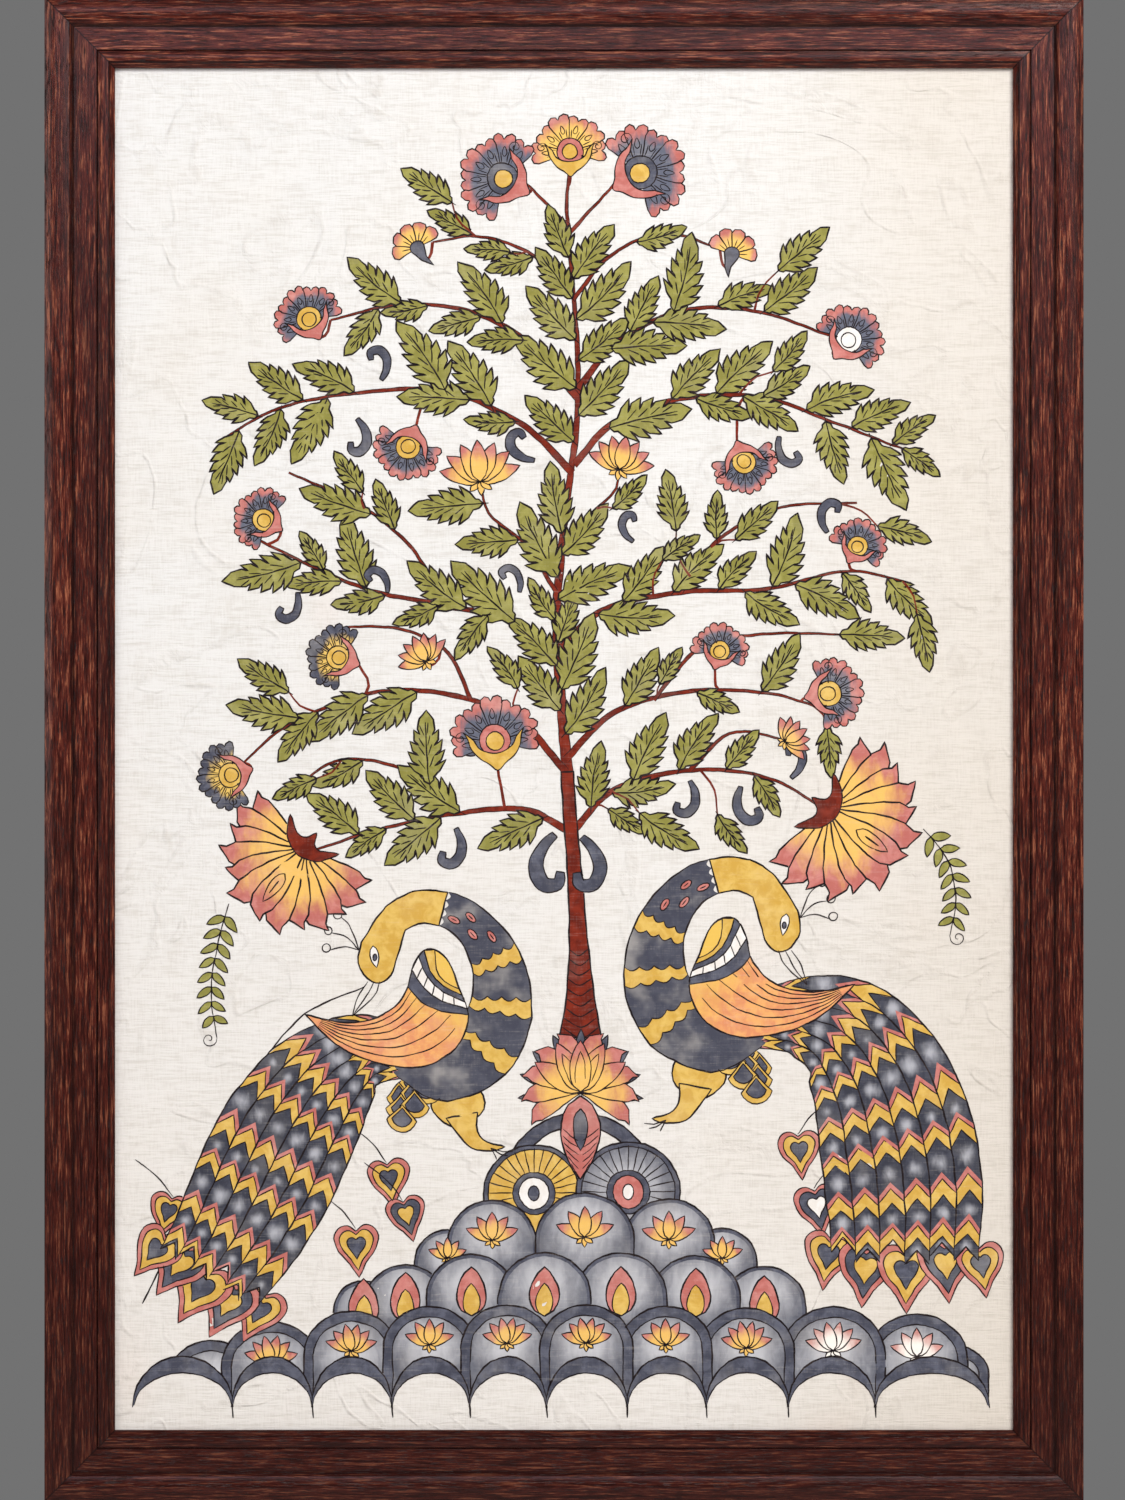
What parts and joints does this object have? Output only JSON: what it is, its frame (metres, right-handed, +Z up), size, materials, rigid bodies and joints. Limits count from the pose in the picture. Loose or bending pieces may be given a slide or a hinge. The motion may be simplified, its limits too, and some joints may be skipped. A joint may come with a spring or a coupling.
{
  "type": "framed cloth picture",
  "caption": "Framed painted-cloth wall picture: mitred hardwood frame, cotton cloth on a keyed stretcher, backing held by turn buttons, hung by two swinging rings.",
  "frame": {"origin": "middle of the bottom rail's underside, at half the rail's depth (the frame's base as it hangs)", "axes": "+X to the right seen from the front, +Y out of the back towards the wall, +Z up; the picture faces -Y"},
  "size_m": [0.693, 0.0366, 1.003],
  "materials": {
    "frame_wood": "satin varnish over open grain",
    "stretcher_wood": "planed, raw",
    "cotton_cloth": "plain weave cotton, matte, dyed",
    "backing": "smooth hardboard",
    "steel": "bright zinc",
    "plated_steel": "nickel plate",
    "brass": "stamped, slightly dull",
    "bumper_rubber": "matte"
  },
  "bodies": {
    "frame": {"top_rail": "frame_wood", "bottom_rail": "frame_wood", "left_rail": "frame_wood", "right_rail": "frame_wood", "corner_v_nails": "steel", "stretcher_top": "stretcher_wood", "stretcher_bottom": "stretcher_wood", "stretcher_left": "stretcher_wood", "stretcher_right": "stretcher_wood", "stretcher_cross_brace": "stretcher_wood", "stretcher_keys": "stretcher_wood", "painted_cloth": "cotton_cloth", "cloth_staples": "steel", "backing_board": "backing", "turn_button_screws": "steel", "hanger_strap_left": "plated_steel", "hanger_strap_right": "plated_steel", "hanger_screws": "steel", "wall_bumpers": "bumper_rubber"},
    "turn_button_1": {"turn_button_1": "brass"},
    "turn_button_2": {"turn_button_2": "brass"},
    "turn_button_3": {"turn_button_3": "brass"},
    "turn_button_4": {"turn_button_4": "brass"},
    "turn_button_5": {"turn_button_5": "brass"},
    "turn_button_6": {"turn_button_6": "brass"},
    "turn_button_7": {"turn_button_7": "brass"},
    "turn_button_8": {"turn_button_8": "brass"},
    "hanger_ring_left": {"hanger_ring_left": "plated_steel"},
    "hanger_ring_right": {"hanger_ring_right": "plated_steel"}
  },
  "joints": [
    {"name": "turn_button_1_turn", "type": "hinge", "parent": "frame", "child": "turn_button_1", "pos_m": [-0.3165, 0.0167, 0.3], "axis": [0, 1, 0], "continuous": true},
    {"name": "turn_button_2_turn", "type": "hinge", "parent": "frame", "child": "turn_button_2", "pos_m": [-0.3165, 0.0167, 0.703], "axis": [0, 1, 0], "continuous": true},
    {"name": "turn_button_3_turn", "type": "hinge", "parent": "frame", "child": "turn_button_3", "pos_m": [0.3165, 0.0167, 0.3], "axis": [0, 1, 0], "continuous": true},
    {"name": "turn_button_4_turn", "type": "hinge", "parent": "frame", "child": "turn_button_4", "pos_m": [0.3165, 0.0167, 0.703], "axis": [0, 1, 0], "continuous": true},
    {"name": "turn_button_5_turn", "type": "hinge", "parent": "frame", "child": "turn_button_5", "pos_m": [-0.16, 0.0167, 0.03], "axis": [0, 1, 0], "continuous": true},
    {"name": "turn_button_6_turn", "type": "hinge", "parent": "frame", "child": "turn_button_6", "pos_m": [0.16, 0.0167, 0.03], "axis": [0, 1, 0], "continuous": true},
    {"name": "turn_button_7_turn", "type": "hinge", "parent": "frame", "child": "turn_button_7", "pos_m": [-0.16, 0.0167, 0.973], "axis": [0, 1, 0], "continuous": true},
    {"name": "turn_button_8_turn", "type": "hinge", "parent": "frame", "child": "turn_button_8", "pos_m": [0.16, 0.0167, 0.973], "axis": [0, 1, 0], "continuous": true},
    {"name": "hanger_ring_left_swing", "type": "hinge", "parent": "frame", "child": "hanger_ring_left", "pos_m": [-0.327, 0.0183, 0.789], "axis": [-1, 0, 0], "range_deg": [0, 178]},
    {"name": "hanger_ring_right_swing", "type": "hinge", "parent": "frame", "child": "hanger_ring_right", "pos_m": [0.327, 0.0183, 0.789], "axis": [-1, 0, 0], "range_deg": [0, 178]}
  ]
}
